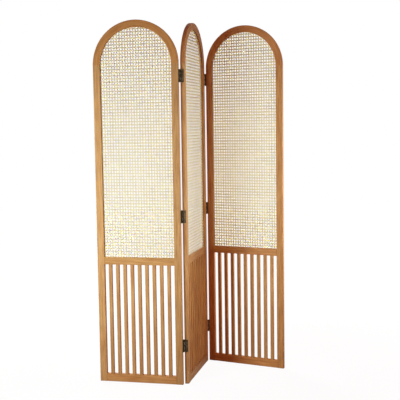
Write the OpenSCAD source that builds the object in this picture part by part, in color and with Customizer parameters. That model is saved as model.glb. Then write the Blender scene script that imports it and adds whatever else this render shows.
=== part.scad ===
// Rattan folding screen, in millimetres, standing on z = 0 in its zigzag.
// Three arched wooden panels have cane in the upper opening and upright slats in the lower one.
// Butt hinges join them: the first fold closes to the back, the second to the front.

/* [Panel] */
// Width of one panel
panel_w = 450; // [380:5:600]
// Height from the floor to the top of the arch
panel_h = 1880; // [1700:10:2100]
// Thickness of the frame, front to back
frame_t = 20; // [18:1:28]
// Width of the stiles and of the arch, seen from the front
frame_w = 37; // [32:1:55]
// Radius of the eased long edges of the frame
edge_r = 2; // [1:0.5:3]

/* [Rails] */
// Height of the bottom rail
bottom_rail_h = 43; // [36:1:70]
// Height of the middle rail
mid_rail_h = 39; // [38:1:60]
// Height of the middle rail's lower edge above the floor
mid_rail_z = 625; // [500:5:750]

/* [Cane] */
// Width of the rebate behind the upper opening, on each side
rebate_w = 10; // [8:0.5:12]
// Thickness of the wood left in front of the rebate
lip_t = 9; // [7:0.5:9]
// Distance between neighbouring cane bands
cane_pitch = 40; // [38:1:60]
// Width of one cane band, which stands for a few woven strands
cane_band_w = 16; // [8:1:24]
// Thickness of one layer of cane
cane_layer_t = 1; // [0.8:0.1:1.2]
// Gap between the ends of the cane and the wall of the rebate
cane_clear = 0.6; // [0.3:0.1:0.9]
// Gap between the beads that hold the cane and the wall of the rebate
bead_clear = 0.3; // [0.1:0.1:0.6]
// Depth of the beads below the back of the frame
bead_recess = 1; // [0.5:0.5:2]
// Radius of the rounded edge of the beads
bead_edge_r = 2; // [1:0.5:3]

/* [Slats] */
// Number of slats in one panel
slat_count = 9; // [5:1:10]
// Width of a slat, seen from the front
slat_w = 17.5; // [12:0.5:20]
// Thickness of a slat, front to back
slat_t = 16; // [8:1:16]
// Radius of the eased long edges of a slat
slat_edge_r = 1.5; // [0.5:0.5:2.5]
// Depth of the mortise that each end of a slat stands in
mortise_depth = 8; // [5:0.5:9]
// Gap between a slat and the walls of its mortise
mortise_clear = 0.1; // [0.05:0.05:0.3]
// Gap between the end of a slat and the bottom of its mortise
mortise_end_gap = 0.3; // [0.1:0.1:0.6]

/* [Dowels] */
// Diameter of the dowels in the frame joints
dowel_d = 6; // [5:0.5:7]
// Length of a dowel
dowel_len = 36; // [24:1:40]
// Least wood left between a dowel and the nearest edge
dowel_wall = 2.5; // [2:0.25:3]
// Radial gap between a dowel and its hole
dowel_clear = 0.05; // [0.02:0.01:0.1]
// Depth of the hole past each end of a dowel
dowel_end_gap = 0.5; // [0.2:0.1:1]

/* [Hinges] */
// Height of a hinge
hinge_h = 65; // [56:1:70]
// Centre of the lowest hinge above the floor
lower_hinge_z = 202; // [120:1:350]
// Centre of the middle hinge above the top of the middle rail
centre_hinge_rise = 213; // [60:1:400]
// Centre of the top hinge below the springing of the arch
upper_hinge_drop = 61; // [60:1:200]
// Thickness of a hinge leaf
leaf_t = 1.8; // [1.4:0.1:2]
// Gap between the two leaves when the panels stand in one line
leaf_gap = 0.4; // [0.3:0.1:0.8]
// Distance from the outer edge of a leaf to the edge of the panel
leaf_inset = 1.5; // [0.5:0.5:3]
// Distance from the face of the frame to the hinge axis
pin_standoff = 3; // [3:0.1:4]
// Radius of the barrel
barrel_r = 2.8; // [2.5:0.1:2.8]
// Radius of the hinge pin
pin_r = 1.5; // [1.2:0.1:1.7]
// Radial gap between the pin and its knuckles
pin_clear = 0.05; // [0.02:0.01:0.1]
// Gap between neighbouring knuckles, and between a leaf and the other leaf's knuckles
knuckle_gap = 0.3; // [0.2:0.1:0.5]
// Radius of the button on each end of the pin
button_r = 2.4; // [2:0.1:2.7]
// Height of the button on each end of the pin
button_h = 1.2; // [0.8:0.1:2]

/* [Screws] */
// Length of a hinge screw, with its head
screw_len = 16; // [12:1:18]
// Radius of the shank of a hinge screw
screw_r = 1.5; // [1.2:0.1:1.7]
// Radius of the countersunk head of a hinge screw
screw_head_r = 2.9; // [2.4:0.1:3]
// Distance between neighbouring screws along a leaf
screw_pitch = 21; // [16:1:23]
// Distance of the outer screws and the middle one from the middle of the frame's thickness
screw_stagger = 2.5; // [0:0.5:3.5]
// Gap between a screw and its hole
screw_clear = 0.05; // [0.02:0.01:0.1]
// Depth of the screw holes past the point of the screws
screw_end_gap = 0.5; // [0.2:0.1:1]

/* [Stance] */
// Turn of the middle panel from the line of the left panel
left_fold = 88.4; // [20:0.2:160]
// Turn of the right panel from the line of the middle panel
right_fold = 102; // [20:0.2:160]
// Turn of the left panel's front away from the view that the screen faces
left_heading = -12; // [-60:0.5:30]

/* [Hidden] */

// Round surfaces are true ones, and this only sets how finely they are drawn.
$fn = 96;

wood = "#a9713f";
slat_wood = "#9c6436";
cane_colour = "#e6d9b8";
dowel_wood = "#d8b98a";
bronze = "#453826";

// Height where the straight stiles end and the half-round arch begins.
spring_z = panel_h - panel_w / 2;
arch_r = panel_w / 2;
opening_r = arch_r - frame_w;
opening_w = panel_w - 2 * frame_w;
mid_rail_top = mid_rail_z + mid_rail_h;

// The rebate starts below the upper opening, as deep in the middle rail as in the stiles.
rebate_z = mid_rail_top - rebate_w;
rebate_depth = frame_t - lip_t;
cane_r = opening_r + rebate_w - cane_clear;
cane_z = rebate_z + cane_clear;
cane_t = 2 * cane_layer_t;
bead_w = rebate_w - bead_clear;
bead_t = rebate_depth - cane_t - bead_recess;

slat_pitch = (opening_w - slat_count * slat_w) / (slat_count + 1) + slat_w;
slat_bottom = bottom_rail_h - mortise_depth + mortise_end_gap;
slat_top = mid_rail_z + mortise_depth - mortise_end_gap;

// Hinge axis, measured from the end face and from the face of the frame.
pin_off = leaf_t + leaf_gap / 2;
hinge_zs = [lower_hinge_z, mid_rail_top + centre_hinge_rise, spring_z - upper_hinge_drop];
knuckle_h = hinge_h / 5;
fixed_knuckles = [0, 2, 4];
swing_knuckles = [1, 3];
leaf_reach = pin_standoff + frame_t - leaf_inset;

// A spare length that carries a cut past the face that it opens.
cut = 1;

// Points of a rectangle from the origin to [w, d] with round corners, each of steps short sides.
function eased(w, d, r, steps = 4) = [
    for (corner = [[w - r, d - r, 0], [r, d - r, 90], [r, r, 180], [w - r, r, 270]])
        for (i = [0 : steps])
            [corner.x + r * cos(corner[2] + 90 * i / steps),
             corner.y + r * sin(corner[2] + 90 * i / steps)]
];

// The outline of a frame member, cut across: u across its face, v from its front to its back.
module member_section(height = frame_w) {
    polygon(eased(height, frame_t, edge_r));
}

// Two dowel places in a zone of solid wood.
function dowel_places(low, high) = [
    low + dowel_d / 2 + dowel_wall,
    high - dowel_d / 2 - dowel_wall
];
function rail_dowel_zs() = concat(
    dowel_places(0, bottom_rail_h - mortise_depth),
    dowel_places(mid_rail_z + mortise_depth, rebate_z)
);
function arch_dowel_xs() = dowel_places(0, frame_w - rebate_w);

// Dowels across the joints at the left stile, or the holes that they stand in.
module left_dowels(gap_r, gap_end) {
    length = dowel_len + 2 * gap_end;
    for (z = rail_dowel_zs())
        translate([frame_w - length / 2, frame_t / 2, z])
            rotate([0, 90, 0])
                cylinder(r = dowel_d / 2 + gap_r, h = length);
    for (x = arch_dowel_xs())
        translate([x, frame_t / 2, spring_z - length / 2])
            cylinder(r = dowel_d / 2 + gap_r, h = length);
}

// Draws children at the right end of the panel as the mirror image of the left end.
module at_right_end() {
    translate([panel_w, 0, 0])
        mirror([1, 0, 0])
            children();
}

module all_dowels(gap_r, gap_end) {
    left_dowels(gap_r, gap_end);
    at_right_end() left_dowels(gap_r, gap_end);
}

module dowel_holes() {
    all_dowels(dowel_clear, dowel_end_gap);
}

// Wooden parts of one panel, with its left end face on x = 0 and its front on y = 0.

// fold is "none", or "back" or "front" for a stile that carries hinges.
module left_stile(fold = "none") {
    color(wood) difference() {
        linear_extrude(spring_z) member_section();
        translate([frame_w - rebate_w, lip_t, rebate_z])
            cube([rebate_w + cut, rebate_depth + cut, spring_z - rebate_z + cut]);
        left_dowels(dowel_clear, dowel_end_gap);
        if (fold != "none") at_left_fold(fold) screw_row(screw_clear, screw_end_gap);
    }
}

module right_stile(fold = "none") {
    at_right_end() left_stile(fold);
}

// Sweeps children over the arch: x is the radius, and y runs from the front to the back.
module arch_sweep() {
    translate([panel_w / 2, 0, spring_z])
        rotate([90, 0, 0])
            rotate_extrude(angle = 180, $fn = 128)
                mirror([0, 1])
                    children();
}

module arch_rail() {
    color(wood) difference() {
        arch_sweep()
            difference() {
                translate([opening_r, 0]) member_section();
                translate([opening_r - cut, lip_t])
                    square([rebate_w + cut, rebate_depth + cut]);
            }
        dowel_holes();
    }
}

// Draws a section of [depth, height] along x from one stile to the other.
module rail_sweep(z) {
    translate([frame_w, 0, z])
        rotate([90, 0, 90])
            linear_extrude(opening_w)
                children();
}

module slat_places() {
    for (i = [0 : slat_count - 1])
        translate([frame_w + slat_pitch - slat_w + i * slat_pitch, (frame_t - slat_t) / 2, 0])
            children();
}

// The mortises of one rail, from z upwards.
module mortises(z, height) {
    slat_places()
        translate([-mortise_clear, -mortise_clear, z])
            cube([slat_w + 2 * mortise_clear, slat_t + 2 * mortise_clear, height]);
}

module mid_rail() {
    color(wood) difference() {
        rail_sweep(mid_rail_z) polygon(eased(frame_t, mid_rail_h, edge_r));
        translate([frame_w - cut, lip_t, rebate_z])
            cube([opening_w + 2 * cut, rebate_depth + cut, rebate_w + cut]);
        mortises(mid_rail_z - cut, mortise_depth + cut);
        dowel_holes();
    }
}

module bottom_rail() {
    color(wood) difference() {
        rail_sweep(0) polygon(eased(frame_t, bottom_rail_h, edge_r));
        mortises(bottom_rail_h - mortise_depth, mortise_depth + cut);
        dowel_holes();
    }
}

module slats() {
    color(slat_wood) slat_places()
        translate([0, 0, slat_bottom])
            linear_extrude(slat_top - slat_bottom)
                polygon(eased(slat_w, slat_t, slat_edge_r, 2));
}

// Half the number of bands, to one side of the middle, that lie within reach.
function bands(reach) = floor((reach - cane_band_w / 2) / cane_pitch);

module cane_outline() {
    translate([0, cane_layer_t, 0])
        rotate([90, 0, 0])
            linear_extrude(cane_layer_t)
                union() {
                    translate([-cane_r, cane_z]) square([2 * cane_r, spring_z - cane_z]);
                    translate([0, spring_z]) circle(cane_r);
                }
}

module upright_bands() {
    count = bands(cane_r);
    for (i = [-count : count])
        translate([i * cane_pitch - cane_band_w / 2, 0, cane_z])
            cube([cane_band_w, cane_layer_t, panel_h - cane_z]);
}

module cross_bands() {
    for (i = [-bands(spring_z - cane_z) : bands(cane_r)])
        translate([-cane_r, 0, spring_z + i * cane_pitch - cane_band_w / 2])
            cube([2 * cane_r, cane_layer_t, cane_band_w]);
}

// Cane webbing: a layer of upright bands in front of a layer of bands across.
module cane() {
    color(cane_colour) translate([panel_w / 2, lip_t, 0]) {
        intersection() {
            upright_bands();
            cane_outline();
        }
        translate([0, cane_layer_t, 0])
            intersection() {
                cross_bands();
                cane_outline();
            }
    }
}

// The outline of a bead, cut across: u from the opening into the rebate, v from the cane back.
module bead_section() {
    polygon(concat(
        [[0, 0], [bead_w, 0], [bead_w, bead_t]],
        [for (i = [0 : 4])
            [bead_edge_r - bead_edge_r * sin(90 * i / 4),
             bead_t - bead_edge_r + bead_edge_r * cos(90 * i / 4)]]
    ));
}

module arch_bead() {
    color(wood) arch_sweep()
        translate([opening_r, lip_t + cane_t]) bead_section();
}

// The side of a mitre where the upright bead lies, at the lower left corner of the rebate.
module mitre_side() {
    reach = 2 * bead_w;
    translate([frame_w, 0, mid_rail_top])
        rotate([90, 0, 0])
            translate([0, 0, -frame_t - cut])
                linear_extrude(frame_t + 2 * cut)
                    polygon([[reach, reach], [-reach, -reach], [-reach, panel_h], [reach, panel_h]]);
}

module left_bead() {
    color(wood) intersection() {
        translate([frame_w, lip_t + cane_t, mid_rail_top - bead_w])
            linear_extrude(spring_z - mid_rail_top + bead_w)
                mirror([1, 0])
                    bead_section();
        mitre_side();
    }
}

module right_bead() {
    at_right_end() left_bead();
}

module bottom_bead() {
    color(wood) difference() {
        translate([frame_w - bead_w, lip_t + cane_t, mid_rail_top])
            rotate([90, 0, 90])
                linear_extrude(opening_w + 2 * bead_w)
                    rotate(-90)
                        bead_section();
        mitre_side();
        at_right_end() mitre_side();
    }
}

module dowels() {
    color(dowel_wood) all_dowels(0, 0);
}

// Hinges. Each half is drawn for the right end of a panel whose hinge is at its back,
// with the hinge axis on x = 0, y = 0 and the middle of the hinge on z = 0.

module at_right_fold(side) {
    translate([panel_w + pin_off, side == "front" ? -pin_standoff : frame_t + pin_standoff, 0])
        mirror([0, side == "front" ? 1 : 0, 0])
            children();
}

module at_left_fold(side) {
    at_right_end() at_right_fold(side) children();
}

module knuckle_place(i) {
    translate([0, 0, i * knuckle_h - hinge_h / 2 + knuckle_gap / 2])
        children();
}

// One screw lies along -x from the face of its leaf, x = 0.
module screw(gap, end_gap) {
    head_h = min(screw_head_r - screw_r, leaf_t - 0.1);
    rotate([0, -90, 0]) {
        translate([0, 0, gap])
            cylinder(r1 = screw_head_r + gap, r2 = screw_r + gap, h = head_h);
        cylinder(r = screw_r + gap, h = screw_len + end_gap);
        if (gap > 0)
            translate([0, 0, -cut])
                cylinder(r = screw_head_r + gap, h = cut + gap);
    }
}

module screws(gap, end_gap) {
    mid_y = -pin_standoff - frame_t / 2;
    for (i = [-1 : 1])
        translate([-leaf_gap / 2, mid_y + (i == 0 ? screw_stagger : -screw_stagger), i * screw_pitch])
            screw(gap, end_gap);
}

module screw_row(gap, end_gap) {
    for (z = hinge_zs)
        translate([0, 0, z])
            screws(gap, end_gap);
}

module leaf(knuckles) {
    length = knuckle_h - knuckle_gap;
    notch_y = -barrel_r - knuckle_gap;
    color(bronze) difference() {
        union() {
            translate([-pin_off, -leaf_reach, -hinge_h / 2])
                cube([leaf_t, leaf_reach + notch_y, hinge_h]);
            for (i = knuckles)
                knuckle_place(i) {
                    translate([-pin_off, notch_y, 0]) cube([leaf_t, -notch_y, length]);
                    cylinder(r = barrel_r, h = length);
                }
        }
        cylinder(r = pin_r + pin_clear, h = hinge_h + cut, center = true);
        screws(screw_clear, screw_end_gap);
    }
}

module pin() {
    color(bronze) {
        cylinder(r = pin_r, h = hinge_h, center = true);
        for (end = [0, 1])
            mirror([0, 0, end])
                translate([0, 0, hinge_h / 2])
                    cylinder(r = button_r, h = button_h);
    }
}

// Where the panels stand. The axis of the left fold is the first reference point.

function turned(p, a) = [p.x * cos(a) - p.y * sin(a), p.x * sin(a) + p.y * cos(a)];

middle_heading = left_heading + left_fold;
right_heading = middle_heading - right_fold;
left_origin = turned([-panel_w - pin_off, -frame_t - pin_standoff], left_heading);
middle_origin = turned([pin_off, -frame_t - pin_standoff], middle_heading);
right_fold_axis = middle_origin + turned([panel_w + pin_off, -pin_standoff], middle_heading);
right_origin = right_fold_axis + turned([pin_off, pin_standoff], right_heading);

// The middle of the box round the three panels, seen from above.
function plan(origin, heading) = [
    for (p = eased(frame_w, frame_t, edge_r))
        for (x = [p.x, panel_w - p.x])
            origin + turned([x, p.y], heading)
];
plan_points = concat(
    plan(left_origin, left_heading),
    plan(middle_origin, middle_heading),
    plan(right_origin, right_heading)
);
plan_xs = [for (p = plan_points) p.x];
plan_ys = [for (p = plan_points) p.y];
plan_middle = [(min(plan_xs) + max(plan_xs)) / 2, (min(plan_ys) + max(plan_ys)) / 2];

module place(origin, heading) {
    translate([origin.x - plan_middle.x, origin.y - plan_middle.y, 0])
        rotate([0, 0, heading])
            children();
}

module in_left_panel() {
    place(left_origin, left_heading) children();
}

module in_middle_panel() {
    place(middle_origin, middle_heading) children();
}

module in_right_panel() {
    place(right_origin, right_heading) children();
}

// Leaves, pins and screws where they lie. level counts the hinges from the floor up.

module left_fold_swing(level) {
    in_left_panel()
        at_right_fold("back")
            translate([0, 0, hinge_zs[level]])
                leaf(swing_knuckles);
}

module left_fold_fixed(level) {
    in_middle_panel()
        at_left_fold("back")
            translate([0, 0, hinge_zs[level]])
                leaf(fixed_knuckles);
}

module left_fold_pin(level) {
    in_middle_panel()
        at_left_fold("back")
            translate([0, 0, hinge_zs[level]])
                pin();
}

module right_fold_fixed(level) {
    in_middle_panel()
        at_right_fold("front")
            translate([0, 0, hinge_zs[level]])
                leaf(fixed_knuckles);
}

module right_fold_swing(level) {
    in_right_panel()
        at_left_fold("front")
            translate([0, 0, hinge_zs[level]])
                leaf(swing_knuckles);
}

module right_fold_pin(level) {
    in_middle_panel()
        at_right_fold("front")
            translate([0, 0, hinge_zs[level]])
                pin();
}

module left_fold_fixed_screws() {
    color(bronze) in_middle_panel() at_left_fold("back") screw_row(0, 0);
}

module left_fold_swing_screws() {
    color(bronze) in_left_panel() at_right_fold("back") screw_row(0, 0);
}

module right_fold_fixed_screws() {
    color(bronze) in_middle_panel() at_right_fold("front") screw_row(0, 0);
}

module right_fold_swing_screws() {
    color(bronze) in_right_panel() at_left_fold("front") screw_row(0, 0);
}

in_left_panel() left_stile();  // left_panel_left_stile
in_left_panel() right_stile("back");  // left_panel_right_stile
in_left_panel() arch_rail();  // left_panel_arch_rail
in_left_panel() mid_rail();  // left_panel_mid_rail
in_left_panel() bottom_rail();  // left_panel_bottom_rail
in_left_panel() slats();  // left_panel_slats
in_left_panel() cane();  // left_panel_cane
in_left_panel() arch_bead();  // left_panel_arch_bead
in_left_panel() left_bead();  // left_panel_left_bead
in_left_panel() right_bead();  // left_panel_right_bead
in_left_panel() bottom_bead();  // left_panel_bottom_bead
in_left_panel() dowels();  // left_panel_dowels

in_middle_panel() left_stile("back");  // middle_panel_left_stile
in_middle_panel() right_stile("front");  // middle_panel_right_stile
in_middle_panel() arch_rail();  // middle_panel_arch_rail
in_middle_panel() mid_rail();  // middle_panel_mid_rail
in_middle_panel() bottom_rail();  // middle_panel_bottom_rail
in_middle_panel() slats();  // middle_panel_slats
in_middle_panel() cane();  // middle_panel_cane
in_middle_panel() arch_bead();  // middle_panel_arch_bead
in_middle_panel() left_bead();  // middle_panel_left_bead
in_middle_panel() right_bead();  // middle_panel_right_bead
in_middle_panel() bottom_bead();  // middle_panel_bottom_bead
in_middle_panel() dowels();  // middle_panel_dowels

in_right_panel() left_stile("front");  // right_panel_left_stile
in_right_panel() right_stile();  // right_panel_right_stile
in_right_panel() arch_rail();  // right_panel_arch_rail
in_right_panel() mid_rail();  // right_panel_mid_rail
in_right_panel() bottom_rail();  // right_panel_bottom_rail
in_right_panel() slats();  // right_panel_slats
in_right_panel() cane();  // right_panel_cane
in_right_panel() arch_bead();  // right_panel_arch_bead
in_right_panel() left_bead();  // right_panel_left_bead
in_right_panel() right_bead();  // right_panel_right_bead
in_right_panel() bottom_bead();  // right_panel_bottom_bead
in_right_panel() dowels();  // right_panel_dowels

left_fold_fixed(0);  // left_fold_lower_fixed_leaf
left_fold_swing(0);  // left_fold_lower_swing_leaf
left_fold_pin(0);  // left_fold_lower_pin
left_fold_fixed(1);  // left_fold_centre_fixed_leaf
left_fold_swing(1);  // left_fold_centre_swing_leaf
left_fold_pin(1);  // left_fold_centre_pin
left_fold_fixed(2);  // left_fold_upper_fixed_leaf
left_fold_swing(2);  // left_fold_upper_swing_leaf
left_fold_pin(2);  // left_fold_upper_pin
right_fold_fixed(0);  // right_fold_lower_fixed_leaf
right_fold_swing(0);  // right_fold_lower_swing_leaf
right_fold_pin(0);  // right_fold_lower_pin
right_fold_fixed(1);  // right_fold_centre_fixed_leaf
right_fold_swing(1);  // right_fold_centre_swing_leaf
right_fold_pin(1);  // right_fold_centre_pin
right_fold_fixed(2);  // right_fold_upper_fixed_leaf
right_fold_swing(2);  // right_fold_upper_swing_leaf
right_fold_pin(2);  // right_fold_upper_pin

left_fold_fixed_screws();
left_fold_swing_screws();
right_fold_fixed_screws();
right_fold_swing_screws();
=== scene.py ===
"""Looks of the rattan folding screen: woven cane, lacquered wood, bronzed hinges, white studio."""

import math

import bpy
import numpy as np
from bpy.props import FloatProperty, FloatVectorProperty, PointerProperty
from mathutils import Matrix


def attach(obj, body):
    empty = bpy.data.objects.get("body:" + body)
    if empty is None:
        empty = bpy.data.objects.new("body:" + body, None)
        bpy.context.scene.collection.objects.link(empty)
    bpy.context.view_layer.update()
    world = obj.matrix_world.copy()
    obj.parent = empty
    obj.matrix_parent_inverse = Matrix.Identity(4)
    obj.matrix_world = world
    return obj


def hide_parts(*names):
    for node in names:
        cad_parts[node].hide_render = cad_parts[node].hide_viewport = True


bl_info = {
    "name": "Rattan Folding Screen",
    "version": (1, 0, 0),
    "blender": (4, 5, 0),
    "location": "3D View > Sidebar > Folding Screen",
    "description": "Weaves the cane and finishes the wood and the hinges of a folding screen",
    "category": "Object",
}

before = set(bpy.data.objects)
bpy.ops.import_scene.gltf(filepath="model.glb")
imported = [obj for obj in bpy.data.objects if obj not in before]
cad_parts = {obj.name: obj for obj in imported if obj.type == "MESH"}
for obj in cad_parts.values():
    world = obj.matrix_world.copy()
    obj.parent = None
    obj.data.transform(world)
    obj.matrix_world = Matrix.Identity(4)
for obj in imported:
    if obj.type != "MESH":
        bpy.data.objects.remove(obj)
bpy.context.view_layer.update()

# One millimetre in metres.
MM = 0.001

# The camera, fitted to the edges of the panels in the photograph: the photograph's width and the
# focal length in pixels, the place in metres, and the turns in degrees.
PHOTO_PX = 400
FOCAL_PX = 832.81
SENSOR_MM = 36.0
CAMERA_PLACE = (0.05019, -4.46275, 1.3462)
CAMERA_HEADING = 0.095
CAMERA_DOWN = 5.17
CAMERA_ROLL = -0.8125

# Each panel's corner on the floor, in metres, and its heading: its own x runs along it to the
# right, y from its front to its back and z up.
PANELS = {
    "left_panel": ((-0.498116, -0.144865), math.radians(-12.0)),
    "middle_panel": ((-0.0283856, -0.219808), math.radians(76.4)),
    "right_panel": ((0.0839145, 0.220654), math.radians(-25.6)),
}

# Sizes of one panel that the solids have too, in millimetres.
PANEL_W = 450.0
FRAME_T = 20.0
FRAME_W = 37.0
SPRING_Z = 1655.0
OPENING_W = 376.0
SLAT_COUNT = 9
SLAT_W = 17.5

# The cane lies in the rebate behind the upper opening: its outline and the middle of its thickness.
CANE_LOW_Z = 654.8
CANE_R = 197.2
CANE_Y = 10.0
# The shortest diagonal that is woven, and the shortest stretch between two samples of a strand
# that gets faces: shorter ones were clipped away at the strand's end.
SHORTEST_STRAND = 6.0
SHORTEST_STRETCH = 0.05

# Each sheet was cut from its roll at another place in the weave: how far a crossing of pairs lies
# to the right of the panel's middle line, and how far above the spring of the arch.
WEAVE_START = {
    "left_panel": (3.0, -7.0),
    "middle_panel": (0.0, 8.0),
    "right_panel": (1.2, 5.8),
}

# Hinges: the heights of their middles, how far a screw head's face stands off the wood, and how
# the three screws of a leaf are spaced and set off from one line.
FOLDS = ("left_fold", "right_fold")
LEVELS = ("lower", "centre", "upper")
HINGE_ZS = np.array([202.0, 877.0, 1594.0])
HEAD_STANDOFF = 1.8
SCREW_PITCH = 21.0
SCREW_STAGGER = 2.5

# One screw, in millimetres: rings of its head by radius, the crossed slots, the threaded shank
# and the point. A slot loses SLOT_RISE of depth with each millimetre from the axis.
HEAD_RINGS = (0.3, 0.6, 0.9, 1.2, 1.5, 1.75, 1.95, 2.5, 2.87)
SLOT_HALF_W = 0.46
SLOT_SOFT_EDGE = 0.14
SLOT_REACH = 1.85
SLOT_END = 0.2
SLOT_DEPTH = 1.15
SLOT_RISE = 0.35
SLOT_MIDDLE = 0.95
SHANK_START = 1.45
SHANK_END = 14.2
SHANK_RINGS = 32
SHANK_R = 1.48
THREAD_PITCH = 1.25
THREAD_DEPTH = 0.3
POINT_DEPTH = 15.9

# Each group of screws: the panel it is driven into, at which end, and which way its middle screw
# is set off from the middle of the frame's thickness.
SCREW_GROUPS = {
    "left_fold_swing_screws": ("left_panel", "right", 1.0),
    "left_fold_fixed_screws": ("middle_panel", "left", 1.0),
    "right_fold_fixed_screws": ("middle_panel", "right", -1.0),
    "right_fold_swing_screws": ("right_panel", "left", -1.0),
}

# Streaks of the wood, in millimetres across and along the grain. Real pores are about 0.1 mm wide.
# They are drawn at 0.7 mm, or they would not show.
FIGURE_MM = (8.0, 130.0)
BAND_MM = (26.0, 90.0)
FIBRE_MM = (0.9, 28.0)
PORE_MM = (0.7, 9.0)
# How far each of them, and the choice of the board, makes the tone paler or darker.
BOARD_REACH = 0.07
BAND_REACH = 0.22
FIBRE_REACH = 0.16
PORE_REACH = 0.22

# How each kind of member differs from the wood's own colour: red, green and blue, from the photo.
# In part this is each kind's own tone, and in part painted light and shade for how the lamps fall on
# it.
STOCK_TONE_AND_PAINTED_LIGHT = {
    "upright": (1.0, 1.03, 1.08),
    "crosswise": (0.97, 0.96, 0.94),
    "arch": (0.98, 0.95, 0.92),
}
# Single boards that look redder, darker or paler than their kind in the photo, because of how light
# falls
# on them: painted shade on the darker ones, such as the right panel's left stile in the fold by the
# middle panel, and painted light on the paler ones.
BOARD_PAINTED_LIGHT = {
    "left_panel_arch_rail": (1.0, 0.95, 0.84),
    "left_panel_left_stile": (1.02, 1.05, 1.08),
    "left_panel_mid_rail": (0.96, 0.96, 0.93),
    "left_panel_bottom_rail": (1.06, 1.01, 1.0),
    "middle_panel_arch_rail": (0.89, 0.79, 0.72),
    "middle_panel_left_stile": (0.96, 0.94, 0.93),
    "middle_panel_right_stile": (1.1, 1.0, 0.97),
    "middle_panel_mid_rail": (0.93, 0.91, 1.0),
    "right_panel_arch_rail": (1.02, 0.88, 0.86),
    "right_panel_left_stile": (0.92, 0.76, 0.83),
    "right_panel_right_stile": (1.02, 0.93, 0.85),
    "right_panel_mid_rail": (1.0, 0.91, 0.9),
    "right_panel_bottom_rail": (1.14, 1.03, 0.97),
}
UNTINTED = (1.0, 1.0, 1.0)

# Each soft lamp: its place and its target in metres, its side in metres, and its grid's spread in
# degrees.
LAMPS = {
    "key": ((-1.62, -1.88, 0.8), (0.0, 0.0, 0.95), 1.0, 85.0),
    "side": ((2.5, 0.7, 1.0), (0.0, 0.0, 1.0), 1.0, 50.0),
    "fill": ((2.45, -0.9, 1.0), (0.0, 0.0, 1.0), 1.0, 50.0),
    "back": ((-1.3, 2.9, 1.2), (0.0, 0.0, 1.0), 1.6, 120.0),
}

# The floor reaches this far from the screen's middle, in metres, in this many tiles each way.
FLOOR_REACH = 9.0
FLOOR_TILES = 12

# Starts of the random numbers for the weave and for the turn of each screw.
WEAVE_SEED = 410
SCREW_SEED = 77


def linear(hex_colour):
    """An sRGB hex colour as linear red, green and blue: the power 2.4 curve, straight near black."""
    parts = [int(hex_colour[i : i + 2], 16) / 255 for i in (1, 3, 5)]
    return tuple(c / 12.92 if c <= 0.04045 else ((c + 0.055) / 1.055) ** 2.4 for c in parts)


def in_screen_frame(points, panel):
    """Points of a panel's own frame, in millimetres, as metres of the whole screen's frame.

    They are turned about z by the panel's heading, then moved to its corner.
    """
    (corner_x, corner_y), heading = PANELS[panel]
    x = points[..., 0] * MM
    y = points[..., 1] * MM
    turned_x = corner_x + x * math.cos(heading) - y * math.sin(heading)
    turned_y = corner_y + x * math.sin(heading) + y * math.cos(heading)
    return np.stack([turned_x, turned_y, points[..., 2] * MM], axis=-1)


def add_mesh(name, verts, faces, smooth=True):
    """Puts whole arrays of corners, in metres, and faces into a new mesh object at the origin."""
    mesh = bpy.data.meshes.new(name)
    mesh.from_pydata(verts.tolist(), [], faces if isinstance(faces, list) else faces.tolist())
    mesh.polygons.foreach_set("use_smooth", np.full(len(mesh.polygons), smooth))
    mesh.update()
    piece = bpy.data.objects.new(name, mesh)
    bpy.context.scene.collection.objects.link(piece)
    return piece


def add_node(tree, kind, inputs=None, **settings):
    """Adds a node; inputs maps a socket's name or number to a value or to another node's output."""
    made = tree.nodes.new(kind)
    for name, value in settings.items():
        setattr(made, name, value)
    for socket, value in (inputs or {}).items():
        if isinstance(value, bpy.types.NodeSocket):
            tree.links.new(value, made.inputs[socket])
        else:
            made.inputs[socket].default_value = value
    return made


def empty_material(name):
    """A new material with nothing in its node tree but the output."""
    material = bpy.data.materials.new(name)
    material.use_nodes = True
    tree = material.node_tree
    tree.nodes.clear()
    output = tree.nodes.new("ShaderNodeOutputMaterial")
    return material, tree, output


def panel_coordinates(tree, panel):
    """The point being shaded in a panel's own frame, in metres, whatever way the panel is turned."""
    (corner_x, corner_y), heading = PANELS[panel]
    at = add_node(tree, "ShaderNodeTexCoord").outputs["Object"]
    own = add_node(
        tree,
        "ShaderNodeMapping",
        {"Vector": at, "Location": (corner_x, corner_y, 0.0), "Rotation": (0.0, 0.0, heading)},
        vector_type="TEXTURE",
    )
    return own.outputs["Vector"]


def grain_space(tree, own, run):
    """Coordinates along the wood's fibres, in metres: x and y across them, z along them.

    Upright members keep the panel's axes and crosswise ones trade x for z. Round the arch, x is
    the distance from the arch's centre and z the angle times the middle radius of the arch.
    """
    if run == "upright":
        return own
    parts = add_node(tree, "ShaderNodeSeparateXYZ", {0: own})
    if run == "crosswise":
        across, along = parts.outputs["Z"], parts.outputs["X"]
    else:
        centred = add_node(
            tree,
            "ShaderNodeVectorMath",
            {0: own, 1: (PANEL_W / 2 * MM, 0.0, SPRING_Z * MM)},
            operation="SUBTRACT",
        ).outputs["Vector"]
        flat = add_node(
            tree,
            "ShaderNodeVectorMath",
            {0: centred, 1: (1.0, 0.0, 1.0)},
            operation="MULTIPLY",
        ).outputs["Vector"]
        length = add_node(tree, "ShaderNodeVectorMath", {0: flat}, operation="LENGTH")
        across = length.outputs["Value"]
        sides = add_node(tree, "ShaderNodeSeparateXYZ", {0: flat})
        turn = add_node(
            tree,
            "ShaderNodeMath",
            {0: sides.outputs["Z"], 1: sides.outputs["X"]},
            operation="ARCTAN2",
        ).outputs[0]
        along = product(tree, turn, (PANEL_W / 2 - FRAME_W / 2) * MM)
    return add_node(
        tree, "ShaderNodeCombineXYZ", {"X": across, "Y": parts.outputs["Y"], "Z": along}
    ).outputs[0]


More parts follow.
